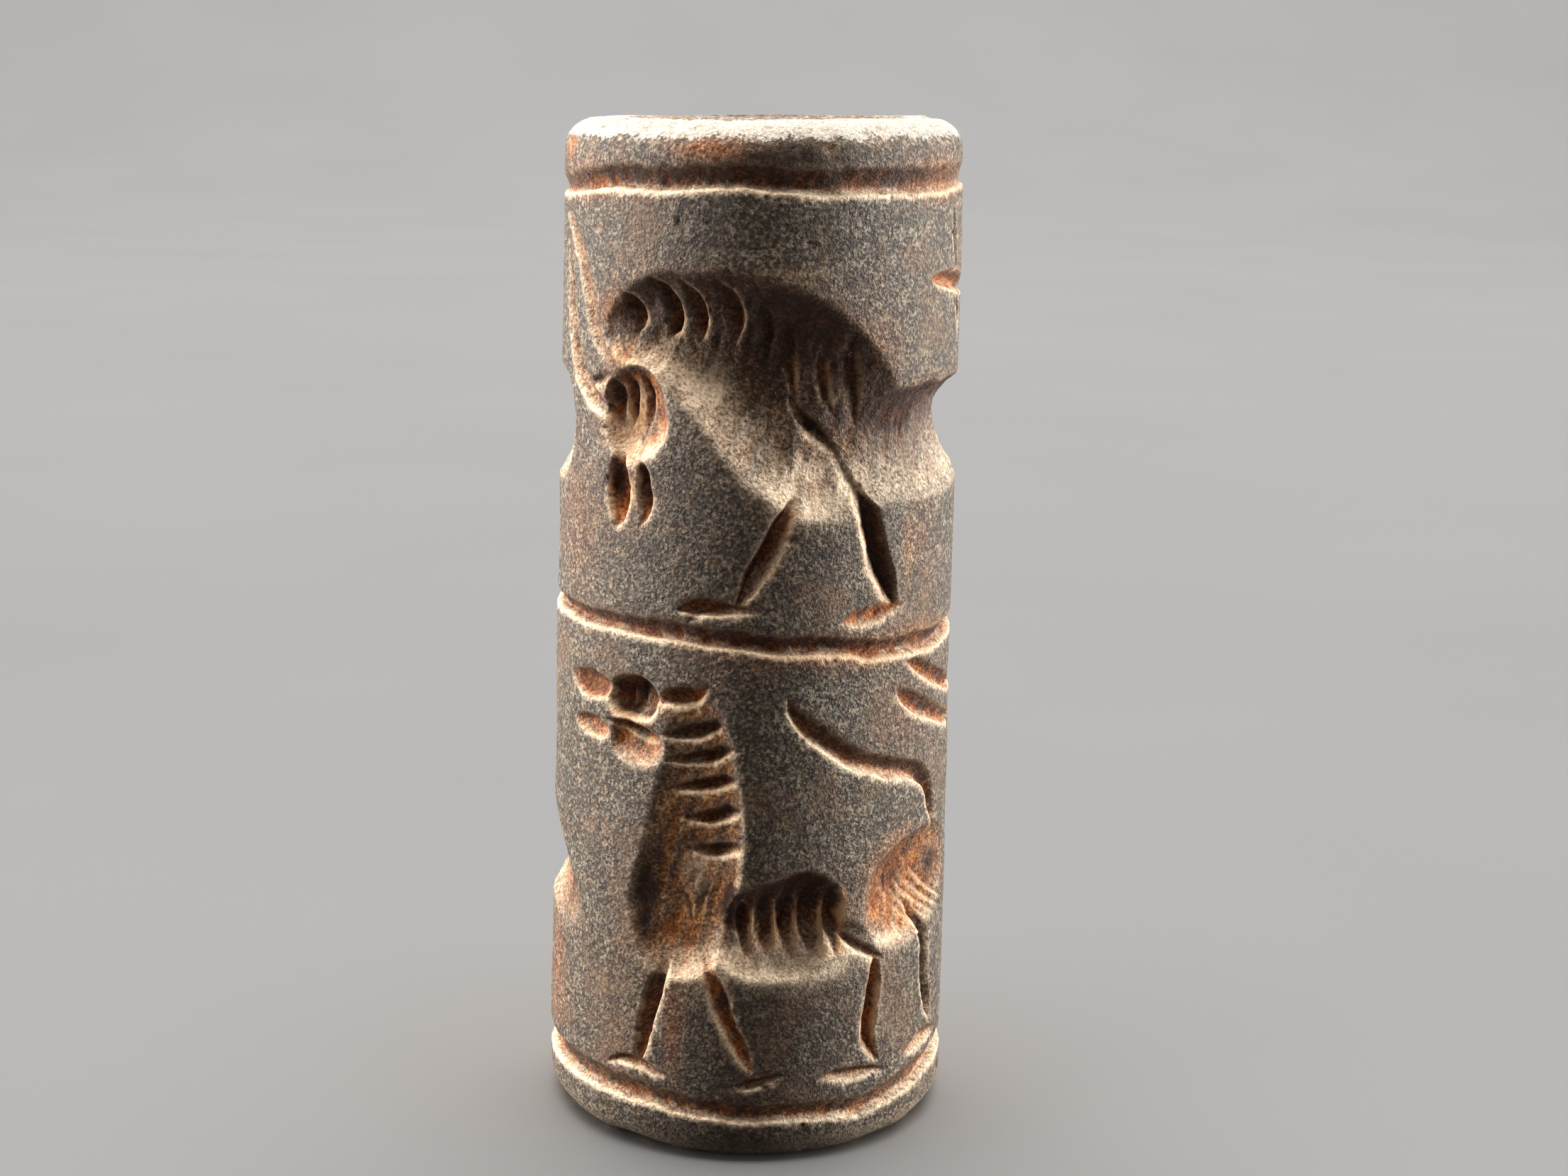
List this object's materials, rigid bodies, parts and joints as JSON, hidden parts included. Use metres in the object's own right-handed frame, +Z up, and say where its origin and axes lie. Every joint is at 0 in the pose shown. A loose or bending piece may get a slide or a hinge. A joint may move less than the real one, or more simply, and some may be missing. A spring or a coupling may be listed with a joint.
{
  "type": "cylinder seal",
  "caption": "Small stone cylinder, pierced from end to end, cut in intaglio with two rows of walking animals between border lines, for rolling on clay.",
  "frame": {"origin": "middle of the lower end, on the surface that the seal stands on", "axes": "+Z up along the bore, towards the narrower end; -Y is the front, with the first animal of each row; +X is to its right"},
  "size_m": [0.0158, 0.0158, 0.0386],
  "materials": {
    "dark_stone": "matt, fine-grained dark grey stone, worn pale on the rims and along the lower lips of the cuts, with rust-brown earth left in the carving"
  },
  "bodies": {
    "root": {"seal_stone": "dark_stone"}
  },
  "joints": []
}
